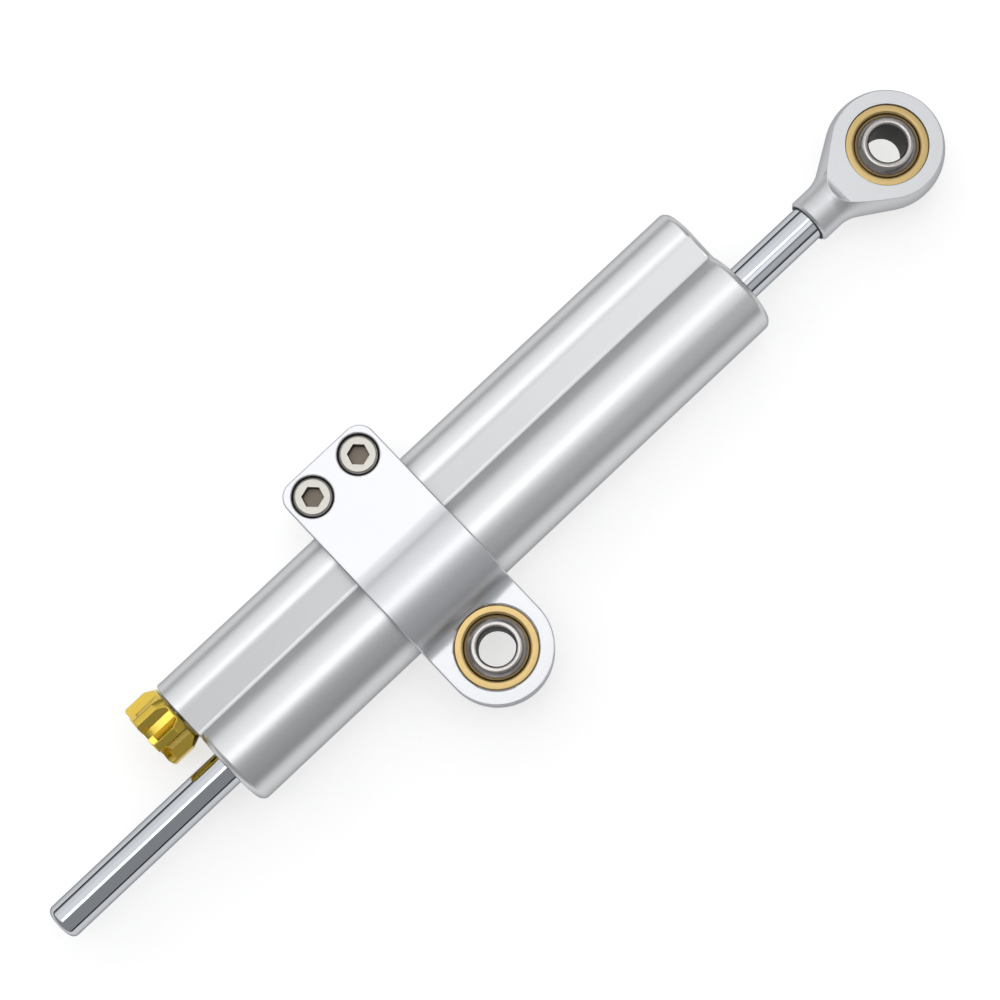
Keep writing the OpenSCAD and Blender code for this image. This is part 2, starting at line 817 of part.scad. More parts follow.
module needle() {
    neck = 1.2;
    neck_end = needle_end + 5.5;
    point = 0.6;
    tip = needle_end + 7.6;
    color("Silver") at_small() at_end(false) difference() {
        turned() polygon([
            [0, needle_start], [needle_r, needle_start], [needle_r, needle_end], [neck, needle_end],
            [neck, neck_end], [point, tip], [0, tip]
        ]);
        hex_bar(hex_drive + hex_fit, needle_start - cut_over, needle_start + needle_socket_depth);
    }
}

damper_body();
rod_guide(false);  // rod_guide_left
rod_guide(true);  // rod_guide_right
guide_o_ring(false);  // guide_o_ring_left
guide_o_ring(true);  // guide_o_ring_right
rod_seal(false);  // rod_seal_left
rod_seal(true);  // rod_seal_right
rod_wiper(false);  // rod_wiper_left
rod_wiper(true);  // rod_wiper_right
circlip(false);  // circlip_left
circlip(true);  // circlip_right
valve_cartridge();
cartridge_o_rings();
tube_end_plug();
end_plug_o_ring();
piston_rod();
piston();
piston_clips();
piston_band();
rod_eye();
rod_eye_race();
rod_eye_ball();
clamp();
clamp_screws();
clamp_eye_race();
clamp_eye_ball();
adjuster_knob();
knob_screw();
adjuster_spindle();
spindle_o_ring();
needle();
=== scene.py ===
import math

import bmesh
import bpy
from mathutils import Matrix, Vector


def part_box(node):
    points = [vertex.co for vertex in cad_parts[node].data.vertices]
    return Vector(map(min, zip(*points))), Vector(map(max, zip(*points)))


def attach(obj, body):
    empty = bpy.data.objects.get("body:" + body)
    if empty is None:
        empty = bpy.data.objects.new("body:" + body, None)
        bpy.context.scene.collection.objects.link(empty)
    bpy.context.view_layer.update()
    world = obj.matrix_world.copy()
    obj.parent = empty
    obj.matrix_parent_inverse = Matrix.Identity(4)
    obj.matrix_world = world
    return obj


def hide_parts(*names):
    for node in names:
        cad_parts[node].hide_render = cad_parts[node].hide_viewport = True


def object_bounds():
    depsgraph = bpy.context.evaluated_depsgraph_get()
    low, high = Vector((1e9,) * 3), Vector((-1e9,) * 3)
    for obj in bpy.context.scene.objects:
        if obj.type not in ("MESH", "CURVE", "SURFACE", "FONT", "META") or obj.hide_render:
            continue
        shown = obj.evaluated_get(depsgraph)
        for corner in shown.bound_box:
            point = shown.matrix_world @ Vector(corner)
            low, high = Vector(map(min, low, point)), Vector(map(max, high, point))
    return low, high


bl_info = {
    "name": "Steering damper looks",
    "version": (1, 0, 0),
    "blender": (4, 5, 0),
    "location": "3D View > Sidebar > Damper",
    "description": "Builds the rounded metal pieces, the finishes and the studio for a steering damper",
    "category": "Object",
}

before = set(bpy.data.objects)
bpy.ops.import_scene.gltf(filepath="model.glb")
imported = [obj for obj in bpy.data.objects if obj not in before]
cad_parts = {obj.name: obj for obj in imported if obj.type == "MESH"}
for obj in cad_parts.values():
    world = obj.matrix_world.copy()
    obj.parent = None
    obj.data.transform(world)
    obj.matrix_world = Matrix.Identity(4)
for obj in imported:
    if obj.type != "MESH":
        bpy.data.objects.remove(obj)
cad_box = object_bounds()

MM = 0.001
FULL_TURN = 2 * math.pi

# Sizes and places of the real pieces, the same as in the CAD source
EYE_X = 131.9 * MM
ROD_Y = 20.4 * MM
ROD_R = 4 * MM
GROOVE_R = 3.6 * MM
GROOVE_WIDTH = 1 * MM
GROOVE_STARTS = (13 * MM, 26 * MM)
BALL_R = 7.95 * MM
BALL_HALF = 6 * MM
BORE_R = 4 * MM
RUNNING_FIT = 0.05 * MM
RACE_R = 8.75 * MM
RACE_HALF = 4.5 * MM
LEAD = 0.4 * MM
SEAT_R = 9.6 * MM
SCREW_X = 6.4 * MM
SCREW_Y = 48.15 * MM
SOCKET_R = 2.4 * MM
SOCKET_DEPTH = 2.8 * MM
# At the knob's end only the large tube, up to this line, has its chamfer rounded
LARGE_TUBE_Y = ROD_Y + 7 * MM
# Faces of a ball whose middle is nearer to its axis than this are its bore
BORE_FACE_R = BORE_R + 0.05 * MM

# Points closer than these are one point, first on a CAD node and then on a turned piece
CAD_MERGE = 0.002 * MM
TURNED_MERGE = 0.001 * MM
# Edges shorter than this are taken out of a finished piece
TINY_EDGE = 0.003 * MM
# Edges shorter than this have no room to be rounded
SHORT_EDGE = 0.2 * MM
# Edges no further than this from an end of the rod belong to that end
END_REACH = 1 * MM

# How far two faces turn at the edge between them, in degrees: below the first they are one flat face, and
# above the second the edge is shaded as sharp
FLAT = 1
SHADED_SHARP = 38
# The edges of a 45 degree chamfer turn by between these, and a square edge by more than the second line
CHAMFER = (38, 50)
SQUARE = 60
# Above these an edge is hard, on milled pieces, turned pieces and balls
MILLED_HARD = 25
TURNED_HARD = 30
BALL_HARD = 20

# The Mix node's sockets for two colours and their mix
MIX_FIRST = 6
MIX_SECOND = 7
MIX_RESULT = 2
# Noise seldom leaves this span
NOISE_SPAN = (0.3, 0.7)
# Pointiness at which the painted highlight on an edge starts and is full
EDGE_HIGHLIGHT_SPAN = (0.52, 0.6)
# How much brighter and paler the painted highlight makes an edge
EDGE_HIGHLIGHT_GAIN = 1.15
EDGE_HIGHLIGHT_LIFT = 0.04

# The camera's place and its turns in degrees, from the fit to the photo
CAMERA_PLACE = Vector((-13.43, -33.038, 519.672)) * MM
CAMERA_TURNS = (("X", 6.069), ("Y", -3.85), ("Z", -43.214))
# The floor's half width in metres
FLOOR_HALF = 4
# The boards' middle along X and half their length, in metres
BOARD_X = 0.05
BOARD_HALF = 1
# Each board's place along Y, the height of its middle and half its height, in metres
BOARDS = (
    ("near_board", -1.0, 0.15, 0.075),
    ("far_board", 1.0, 0.12, 0.07),
)
# Each lamp's place, width and depth in metres, and its lean towards the object in degrees
LAMPS = (
    ("overhead_strip", (0.04, 0.095, 0.9), 0.68, 0.22, 6),
    ("soft_card", (0.1, 0.42, 0.755), 1.4, 0.53, 29),
    ("low_card", (0.1, 0.74, 0.45), 1.4, 0.38, 58),
    ("far_card", (0.5, -0.25, 0.87), 0.75, 0.36, -16),
    ("side_card", (0.6, -0.85, 0.62), 0.9, 0.6, -54),
)
# Lamp power for each square metre at a brightness of 1
LAMP_POWER = 2.5
# The room's faintly cool grey
ROOM_TINT = (0.97, 0.985, 1.0, 1)


def linear(colour):
    """Turns an sRGB hex colour to linear values."""
    parts = [int(colour[i:i + 2], 16) / 255 for i in (0, 2, 4)]
    return tuple(p / 12.92 if p <= 0.04045 else ((p + 0.055) / 1.055) ** 2.4 for p in parts)


def colour(label, text, value):
    """A colour that a user may change, from its sRGB hex value."""
    return bpy.props.FloatVectorProperty(
        name=label, description=text, subtype="COLOR", size=3, min=0, max=1, default=linear(value))


def length(label, text, value):
    """A length that a user may change, given in millimetres."""
    return bpy.props.FloatProperty(
        name=label, description=text, subtype="DISTANCE", unit="LENGTH", min=0, default=value * MM)


def brightness(label, text, value):
    """A lamp's brightness that a user may change."""
    return bpy.props.FloatProperty(name=label, description=text, min=0, default=value)


def share(label, text, value):
    """A part of full brightness that a user may change."""
    return bpy.props.FloatProperty(
        name=label, description=text, subtype="FACTOR", min=0, max=1, default=value)


class DamperSizes(bpy.types.PropertyGroup):
    body_end: length("Body end", "Rounding that turns the chamfer at the body's ends into an arc", 0.48)
    body_edge: length("Body edge", "Rounding of the edges at the body's bores", 0.05)
    clamp_edge: length("Clamp edge", "Rounding of the clamp's edges", 0.35)
    eye_edge: length("Rod eye edge", "Rounding of the rod eye's edges", 0.1)
    knob_edge: length("Knob edge", "Rounding of the knob's edges", 0.07)
    small_edge: length("Small edge", "Rounding of screws, clips and plugs", 0.12)
    wiper_edge: length("Wiper edge", "Rounding of the rod's wipers", 0.1)
    ball_edge: length("Ball edge", "Rounding of the balls' edges", 0.12)
    race_edge: length("Race edge", "Rounding of the races' edges", 0.2)
    rod_end: length("Rod end", "Rounding of the rod's free end", 1.3)
    rod_hidden_end: length("Rod's hidden end", "Rounding of the rod's end inside the rod eye", 0.5)
    turn_steps: bpy.props.IntProperty(
        name="Steps", description="Steps round each turned piece", min=24, max=192, default=96)


class DamperColours(bpy.types.PropertyGroup):
    body: colour("Body", "Clear anodised aluminium of the body", "DADBDC")
    clamp: colour("Clamp", "Clear anodised aluminium of the clamp", "D5D6D9")
    eye: colour("Rod eye", "Clear anodised aluminium of the rod eye", "D2D3D5")
    chrome: colour("Rod", "Hard chrome of the rod", "C3C6CB")
    race: colour("Races", "Gold passivated steel of the ball races", "B8A06E")
    ball: colour("Balls", "Bearing steel of the balls", "A8A4A1")
    # Painted shade: the steel inside the balls' bores, darkened for the shade in them
    bore: colour("Ball bores", "Dark bored steel inside the balls", "34322F")
    screw: colour("Screws", "Zinc plated steel of the screws", "ACA9A3")
    # Painted shade: the screws' steel, darkened for the shade down in their sockets
    socket: colour("Sockets", "Dull plating down in the screws' sockets", "6E665C")
    knob: colour("Knob", "Gold anodised aluminium of the knob", "D4B53C")
    bronze: colour("Guides", "Bearing bronze of the rod guides", "B48A4E")
    rubber: colour("Seals", "Nitrile rubber of rings and seals", "1E1E1F")
    clip: colour("Clips", "Phosphated spring steel of the clips", "5C5E60")
    brass: colour("Cartridge", "Turned brass of the valve cartridge", "D3B46B")
    steel: colour("Valve steel", "Ground stainless steel of needle and spindle", "B4B4B2")
    piston: colour("Piston", "Turned aluminium of the piston and plug", "C6C8CA")
    band: colour("Piston band", "Filled slide plastic of the piston band", "5A4330")


class DamperStudio(bpy.types.PropertyGroup):
    floor: colour("Floor", "Pale floor", "C8C8C8")
    glow: share("Glow", "Floor's own light for the camera and for metal", 0.6)
    world: share("Room", "Grey of the room round the object", 0.37)
    overhead_strip: brightness("Overhead strip", "Brightness of the overhead strip", 2.95)
    soft_card: brightness("Soft card", "Brightness of the large soft card", 1.0)
    low_card: brightness("Low card", "Brightness of the lower half of the soft card", 0.85)
    far_card: brightness("Far card", "Brightness of the card past the rod eye", 1.25)
    side_card: brightness("Side card", "Brightness of the card beside the rod eye", 0.38)
    lens: bpy.props.FloatProperty(
        name="Lens", description="Focal length in millimetres", unit="CAMERA", min=20, max=300, default=90.31)


class DamperSettings(bpy.types.PropertyGroup):
    sizes: bpy.props.PointerProperty(type=DamperSizes)
    colours: bpy.props.PointerProperty(type=DamperColours)
    studio: bpy.props.PointerProperty(type=DamperStudio)


def node(tree, kind, inputs=None, **settings):
    """Adds a node, sets its properties, and gives each named socket a value or a link."""
    made = tree.nodes.new(kind)
    for key, value in settings.items():
        setattr(made, key, value)
    for socket, value in (inputs or {}).items():
        if isinstance(value, bpy.types.NodeSocket):
            tree.links.new(value, made.inputs[socket])
        else:
            made.inputs[socket].default_value = value
    return made


def finish(
        name, tone, rough, grain, depth, stretch=(1, 1, 1), metallic=1.0, shade=0.08, rough_spread=0.05,
        cloud=14, painted_edge_highlight=0.0, **surface):
    """One finish: a fine grain that gives roughness and bump, slow clouds in its tone, and a painted
    highlight on sharp edges.

    grain, depth and cloud are in millimetres. stretch is how many times longer the grain is along X, Y and Z.
    The clouds are the slow unevenness that blasting, dyeing and handling leave, about a centimetre across.
    surface sets further sockets of the shader, with _ for the spaces in their names.
    """
    if name in bpy.data.materials:
        return bpy.data.materials[name]
    made = bpy.data.materials.new(name)
    made.use_nodes = True
    tree = made.node_tree
    tree.nodes.clear()
    place = node(tree, "ShaderNodeTexCoord").outputs["Object"]
    drawn = node(tree, "ShaderNodeMapping", {"Vector": place, "Scale": [1 / s for s in stretch]})
    fine = node(tree, "ShaderNodeTexNoise", {
        "Vector": drawn.outputs["Vector"], "Scale": 1 / (grain * MM), "Detail": 4.0, "Roughness": 0.6})
    clouds = node(tree, "ShaderNodeTexNoise", {
        "Vector": place, "Scale": 1 / (cloud * MM), "Detail": 2.0, "Roughness": 0.5})
    roughness = node(tree, "ShaderNodeMapRange", {
        "Value": fine.outputs["Fac"], "From Min": NOISE_SPAN[0], "From Max": NOISE_SPAN[1],
        "To Min": max(rough - rough_spread, 0.01), "To Max": rough + rough_spread})
    dark = [c * (1 - shade) for c in tone]
    light = [min(c * (1 + shade), 1) for c in tone]
    toned = node(tree, "ShaderNodeMix", {
        "Factor": clouds.outputs["Fac"], MIX_FIRST: (*dark, 1), MIX_SECOND: (*light, 1)}, data_type="RGBA")
    painted = toned.outputs[MIX_RESULT]
    # Painted highlight: sharp edges, found by their pointiness, are painted brighter and paler
    if painted_edge_highlight:
        edges = node(tree, "ShaderNodeMapRange", {
            "Value": node(tree, "ShaderNodeNewGeometry").outputs["Pointiness"],
            "From Min": EDGE_HIGHLIGHT_SPAN[0], "From Max": EDGE_HIGHLIGHT_SPAN[1], "To Min": 0.0, "To Max": painted_edge_highlight})
        pale = [min(c * EDGE_HIGHLIGHT_GAIN + EDGE_HIGHLIGHT_LIFT, 1) for c in tone]
        highlighted = node(tree, "ShaderNodeMix", {
            "Factor": edges.outputs["Result"], MIX_FIRST: painted, MIX_SECOND: (*pale, 1)}, data_type="RGBA")
        painted = highlighted.outputs[MIX_RESULT]
    bump = node(tree, "ShaderNodeBump", {
        "Height": fine.outputs["Fac"], "Strength": 1.0, "Distance": depth * MM})
    shader = node(tree, "ShaderNodeBsdfPrincipled", {
        "Base Color": painted, "Metallic": metallic, "Roughness": roughness.outputs["Result"],
        "Normal": bump.outputs["Normal"]})
    for socket, value in surface.items():
        shader.inputs[socket.replace("_", " ")].default_value = value
    node(tree, "ShaderNodeOutputMaterial", {"Surface": shader.outputs["BSDF"]})
    return made


def finishes():
    """Every finish by the record's slot name.

    A pixel of the render is about 0.2 mm on the object. Blasting pits, grinding lines and lathe lines are
    0.01 to 0.1 mm across, too fine to show, so each grain is drawn at 0.2 to 0.4 mm and kept very shallow.
    """
    tones = bpy.context.scene.damper.colours
    # The clear film on anodised aluminium dims it where it is seen edge-on, and so does dust on chrome
    film = {"Specular_Tint": (*linear("959597"), 1)}
    return {
        # Drawn tube, fine blasted and clear anodised: a silky grey with faint lines along its length
        "body_aluminium": finish(
            "anodised_aluminium_satin_tube", tones.body, rough=0.38, grain=0.3, depth=0.0002,
            stretch=(12, 1, 1), shade=0.012, rough_spread=0.012, **film),
        # Milled block, blasted and clear anodised: an even, very fine grain
        "clamp_aluminium": finish(
            "anodised_aluminium_blasted_block", tones.clamp, rough=0.39, grain=0.25, depth=0.0003,
            shade=0.01, rough_spread=0.015, **film),
        # Turned, then milled flat and clear anodised: a little duller than the clamp
        "eye_aluminium": finish(
            "anodised_aluminium_turned_eye", tones.eye, rough=0.46, grain=0.3, depth=0.0002,
            stretch=(1, 6, 6), shade=0.012, rough_spread=0.012, **film),
        # Ground and hard chromed: a mirror with hair-fine grinding lines round it
        "rod_chrome": finish(
            "hard_chrome_ground_rod", tones.chrome, rough=0.05, grain=0.4, depth=0.00005,
            stretch=(1, 20, 20), shade=0.02, rough_spread=0.015, **film),
        # Rolled race, gold passivated: a warm and slightly soft shine
        "race_brass": finish(
            "gold_passivated_steel_race", tones.race, rough=0.3, grain=0.3, depth=0.0002,
            stretch=(4, 4, 1), shade=0.04, rough_spread=0.02),
        # Hardened and ground ball: a grey shine, dark where it turns away from the lamps
        "ball_steel": finish(
            "bearing_steel_ground_ball", tones.ball, rough=0.22, grain=0.3, depth=0.0001,
            stretch=(4, 4, 1), shade=0.04, rough_spread=0.02),
        # Forged and zinc plated: bright with a soft grain
        "screw_steel": finish(
            "zinc_plated_steel_screw", tones.screw, rough=0.28, grain=0.2, depth=0.0004,
            shade=0.06, rough_spread=0.03),
        # Turned, fluted and gold anodised: a deep yellow metal whose clear film gives pale glints
        # Its sharp edges get a painted highlight
        "knob_gold": finish(
            "anodised_aluminium_gold_knob", tones.knob, rough=0.24, grain=0.25, depth=0.0002,
            stretch=(1, 8, 8), shade=0.03, rough_spread=0.02, painted_edge_highlight=0.3,
            Coat_Weight=0.65, Coat_IOR=1.6, Coat_Roughness=0.12),
        # Turned bearing bronze: warm, with lathe lines
        "guide_bronze": finish(
            "bearing_bronze_turned", tones.bronze, rough=0.3, grain=0.3, depth=0.001,
            stretch=(1, 12, 12), shade=0.12),
        # Moulded nitrile: black, matt, very slightly mottled
        "seal_rubber": finish(
            "nitrile_rubber_moulded", tones.rubber, rough=0.55, grain=0.3, depth=0.003,
            metallic=0.0, shade=0.2),
        # Stamped spring steel, phosphated: dark grey with a dry grain
        "clip_steel": finish(
            "phosphated_spring_steel_stamped", tones.clip, rough=0.42, grain=0.2, depth=0.002, shade=0.15),
        # Turned brass: yellow, with lathe lines
        "valve_brass": finish(
            "brass_turned", tones.brass, rough=0.25, grain=0.3, depth=0.001, stretch=(1, 12, 12), shade=0.1),
        # Ground stainless steel: pale and bright
        "valve_steel": finish(
            "stainless_steel_ground", tones.steel, rough=0.18, grain=0.3, depth=0.0005,
            stretch=(1, 12, 12), shade=0.06),
        # Turned aluminium, left bare: pale grey, with lathe lines
        "piston_aluminium": finish(
            "aluminium_turned_bare", tones.piston, rough=0.28, grain=0.3, depth=0.001,
            stretch=(1, 12, 12), shade=0.08),
        # Filled slide plastic, cut to size: brown and waxy
        "band_plastic": finish(
            "filled_slide_plastic_cut", tones.band, rough=0.4, grain=0.3, depth=0.002,
            metallic=0.0, shade=0.15),
    }


def sharp(bm, least, most=180):
    """The edges at which two faces meet at an angle between two limits in degrees."""
    least = math.radians(least)
    most = math.radians(most)
    return [e for e in bm.edges if len(e.link_faces) == 2 and least < e.calc_face_angle() <= most]


def soften(bm, edges, width, segments):
    """Rounds a set of edges."""
    bmesh.ops.bevel(
        bm, geom=edges, offset=width, offset_type="OFFSET", segments=segments, profile=0.5,
        affect="EDGES", clamp_overlap=False, loop_slide=True, material=-1)


def object_from(bm, name):
    """Makes the scene's object of a bmesh."""
    mesh = bpy.data.meshes.new(name)
    bm.to_mesh(mesh)
    bm.free()
    made = bpy.data.objects.new(name, mesh)
    bpy.context.scene.collection.objects.link(made)
    return made


def piece(bm, name, body, slot, nodes, second=None):
    """Makes a finished piece of a bmesh that rides a body and stands for some CAD nodes.

    The faces that the bmesh marks with 1 get the second material.
    """
    bmesh.ops.remove_doubles(bm, verts=bm.verts, dist=TINY_EDGE)
    bmesh.ops.dissolve_degenerate(bm, dist=TINY_EDGE, edges=bm.edges)
    made = object_from(bm, name)
    mesh = made.data
    mesh.polygons.foreach_set("use_smooth", [True] * len(mesh.polygons))
    mesh.set_sharp_from_angle(angle=math.radians(SHADED_SHARP))
    even = made.modifiers.new("Even shading", "WEIGHTED_NORMAL")
    even.keep_sharp = True
    mesh.materials.append(finishes()[slot])
    if second:
        mesh.materials.append(second)
    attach(made, body)
    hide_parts(*nodes)
    return made


def merged_copy(source):
    """A copy of a CAD node with its loose triangles merged into whole faces."""
    bm = bmesh.new()
    bm.from_mesh(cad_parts[source].data)
    bmesh.ops.remove_doubles(bm, verts=bm.verts, dist=CAD_MERGE)
    bmesh.ops.dissolve_limit(bm, angle_limit=math.radians(FLAT), verts=bm.verts, edges=bm.edges)
    return bm


def rounded_copy(source, name, body, slot, width, segments=2):
    """A copy of a CAD node with its hard edges rounded."""
    bm = merged_copy(source)
    soften(bm, sharp(bm, MILLED_HARD), width, segments)
    return piece(bm, name, body, slot, [source])


def chain(bm, points):
    """Joins points with edges and returns the vertices."""
    verts = [bm.verts.new(p) for p in points]
    for first, second in zip(verts, verts[1:]):
        bm.edges.new((first, second))
    return verts


def turned(bm, centre, axis, steps):
    """Spins the drawn outline right round an axis and closes its poles."""
    bmesh.ops.spin(
        bm, geom=bm.verts[:] + bm.edges[:], cent=centre, axis=axis, angle=FULL_TURN, steps=steps,
        use_merge=True)
    bmesh.ops.remove_doubles(bm, verts=bm.verts, dist=TURNED_MERGE)
    bmesh.ops.recalc_face_normals(bm, faces=bm.faces)


def ball_or_race(centre, half, start_r, points, steps, arc_steps=24):
    """A turned ring whose one side is an arc about a centre. The outline closes through the points."""
    bm = bmesh.new()
    first = bm.verts.new(centre + Vector((start_r, 0, -half)))
    sweep = 2 * math.atan2(half, start_r)
    bmesh.ops.spin(
        bm, geom=[first], cent=centre, axis=(0, -1, 0), angle=sweep, steps=arc_steps, use_merge=False)
    bm.verts.ensure_lookup_table()
    last = max(bm.verts, key=lambda v: v.co.z)
    rest = chain(bm, [centre + Vector((r, 0, z)) for r, z in points])
    bm.edges.new((last, rest[0]))
    bm.edges.new((rest[-1], first))
    turned(bm, centre, (0, 0, 1), steps)
    return bm


class DAMPER_OT_stage(bpy.types.Operator):
    """Camera, floor, boards, room and lamps."""
    bl_idname = "damper.stage"
    bl_label = "Stage"

    def execute(self, context):
        scene = context.scene
        studio = scene.damper.studio
        scene.view_settings.view_transform = "Standard"
        self.camera(scene, studio)
        self.floor(studio)
        self.boards()

        room = bpy.data.worlds.new("room")
        room.use_nodes = True
        scene.world = room
        room.node_tree.nodes["Background"].inputs["Color"].default_value = ROOM_TINT
        room.node_tree.nodes["Background"].inputs["Strength"].default_value = studio.world

        for name, place, across, deep, lean in LAMPS:
            self.lamp(scene, name, place, across, deep, lean, getattr(studio, name))
        return {"FINISHED"}

    def camera(self, scene, studio):
        """The camera of the photo."""
        lens = bpy.data.cameras.new("camera")
        lens.lens = studio.lens
        lens.sensor_width = 36
        lens.clip_start = 0.01
        lens.clip_end = 50
        camera = bpy.data.objects.new("camera", lens)
        turn = Matrix.Identity(4)
        for axis, angle in CAMERA_TURNS:
            turn = turn @ Matrix.Rotation(math.radians(angle), 4, axis)
        camera.matrix_world = Matrix.Translation(CAMERA_PLACE) @ turn
        scene.collection.objects.link(camera)
        scene.camera = camera

    def floor(self, studio):
        """The pale floor that the object lies on."""
        bm = bmesh.new()
        bmesh.ops.create_grid(bm, x_segments=1, y_segments=1, size=FLOOR_HALF)
        bmesh.ops.translate(bm, verts=bm.verts, vec=(0, 0, cad_box[0][2]))
        floor = object_from(bm, "floor")
        # Matt paper: a little of its own light for what the camera and metal see keeps it white. Its faint
        # unevenness is drawn at 4 mm, because the fibres of real paper are too fine to show.
        paper = bpy.data.materials.new("matt_white_paper")
        paper.use_nodes = True
        tree = paper.node_tree
        tree.nodes.clear()
        rays = node(tree, "ShaderNodeLightPath").outputs
        metal_or_glass = node(tree, "ShaderNodeMath", {
            0: rays["Is Glossy Ray"], 1: rays["Is Transmission Ray"]}, operation="MAXIMUM")
        seen = node(tree, "ShaderNodeMath", {
            0: rays["Is Camera Ray"], 1: metal_or_glass.outputs[0]}, operation="MAXIMUM")
        glow = node(tree, "ShaderNodeMath", {0: seen.outputs[0], 1: studio.glow}, operation="MULTIPLY")
        place = node(tree, "ShaderNodeTexCoord").outputs["Object"]
        uneven = node(tree, "ShaderNodeTexNoise", {"Vector": place, "Scale": 1 / (4 * MM), "Detail": 3.0})
        bump = node(tree, "ShaderNodeBump", {
            "Height": uneven.outputs["Fac"], "Strength": 0.3, "Distance": 0.01 * MM})
        shader = node(tree, "ShaderNodeBsdfPrincipled", {
            "Base Color": (*studio.floor, 1), "Roughness": 0.9, "Specular IOR Level": 0.2,
            "Emission Color": (*linear("FFFFFF"), 1), "Emission Strength": glow.outputs[0],
            "Normal": bump.outputs["Normal"]})
        node(tree, "ShaderNodeOutputMaterial", {"Surface": shader.outputs["BSDF"]})
        floor.data.materials.append(paper)

    def boards(self):
        """Long black boards low beside the table, which give the polished rod its thin dark lines."""
        # Felt in tufts about 2 mm across: it gives nothing back, so it shows in metal as plain black
        felt = finish(
            "black_felt_board", linear("0A0A0A"), rough=0.95, grain=2, depth=0.05, metallic=0.0,
            Specular_IOR_Level=0.1)
        for name, far, high, half in BOARDS:
            bm = bmesh.new()
            bmesh.ops.create_grid(bm, x_segments=1, y_segments=1, size=BOARD_HALF)
            bmesh.ops.scale(bm, verts=bm.verts, vec=(1, half, 1))
            bmesh.ops.rotate(bm, verts=bm.verts, matrix=Matrix.Rotation(math.radians(90), 3, "X"))
            bmesh.ops.translate(bm, verts=bm.verts, vec=(BOARD_X, far, high))
            board = object_from(bm, name)
            board.data.materials.append(felt)
            # Only metal shows them, so no view has a black bar at its edge
            board.visible_camera = False

    def lamp(self, scene, name, place, across, deep, lean, level):
        """A rectangular lamp that leans from straight down towards the object, by its own brightness."""
        light = bpy.data.lights.new(name, "AREA")
        light.shape = "RECTANGLE"
        light.size = across
        light.size_y = deep
        light.energy = level * across * deep * LAMP_POWER
        lamp = bpy.data.objects.new(name, light)
        lamp.matrix_world = Matrix.Translation(place) @ Matrix.Rotation(math.radians(-lean), 4, "X")
        scene.collection.objects.link(lamp)


class DAMPER_OT_body(bpy.types.Operator):
    """Twin-tube body with softened edges."""
    bl_idname = "damper.body"
    bl_label = "Body"

    def execute(self, context):
        sizes = context.scene.damper.sizes
        bm = merged_copy("damper_body")
        # The knob's end keeps its narrow chamfer on the small tube and the web. The very short edges at the
        # web's corners have no room to be rounded.
        ends = [
            e for e in sharp(bm, *CHAMFER) if e.calc_length() > SHORT_EDGE
            and (e.verts[0].co.x > 0 or max(v.co.y for v in e.verts) < LARGE_TUBE_Y)]
        soften(bm, ends, sizes.body_end, segments=5)
        mouths = [e for e in sharp(bm, SQUARE) if e.calc_length() > SHORT_EDGE]
        soften(bm, mouths, sizes.body_edge, segments=2)
        piece(bm, "twin_tube_body", "body", "body_aluminium", ["damper_body"])
        return {"FINISHED"}


class DAMPER_OT_rod(bpy.types.Operator):
    """Polished rod with its rounded free end and the two clip grooves."""
    bl_idname = "damper.rod"
    bl_label = "Rod"

    def execute(self, context):
        sizes = context.scene.damper.sizes
        low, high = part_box("piston_rod")
        left = low.x
        right = high.x
        outline = [(left, 0), (left, ROD_R)]
        for start in GROOVE_STARTS:
            end = start + GROOVE_WIDTH
            outline += [(start, ROD_R), (start, GROOVE_R), (end, GROOVE_R), (end, ROD_R)]
        outline += [(right, ROD_R), (right, 0)]
        bm = bmesh.new()
        chain(bm, [(x, ROD_Y, r) for x, r in outline])
        turned(bm, (0, ROD_Y, 0), (1, 0, 0), sizes.turn_steps)
        free_end = [e for e in sharp(bm, TURNED_HARD) if max(v.co.x for v in e.verts) < left + END_REACH]
        soften(bm, free_end, sizes.rod_end, segments=6)
        hidden_end = [
            e for e in sharp(bm, TURNED_HARD) if min(v.co.x for v in e.verts) > right - END_REACH]
        soften(bm, hidden_end, sizes.rod_hidden_end, segments=3)
        piece(bm, "polished_rod", "rod", "rod_chrome", ["piston_rod"])
        return {"FINISHED"}


class DAMPER_OT_rod_eye(bpy.types.Operator):
    """Rod eye with softened edges."""
    bl_idname = "damper.rod_eye"
    bl_label = "Rod eye"

    def execute(self, context):
        sizes = context.scene.damper.sizes
        rounded_copy("rod_eye", "flatted_rod_eye", "rod", "eye_aluminium", sizes.eye_edge, segments=3)
        return {"FINISHED"}


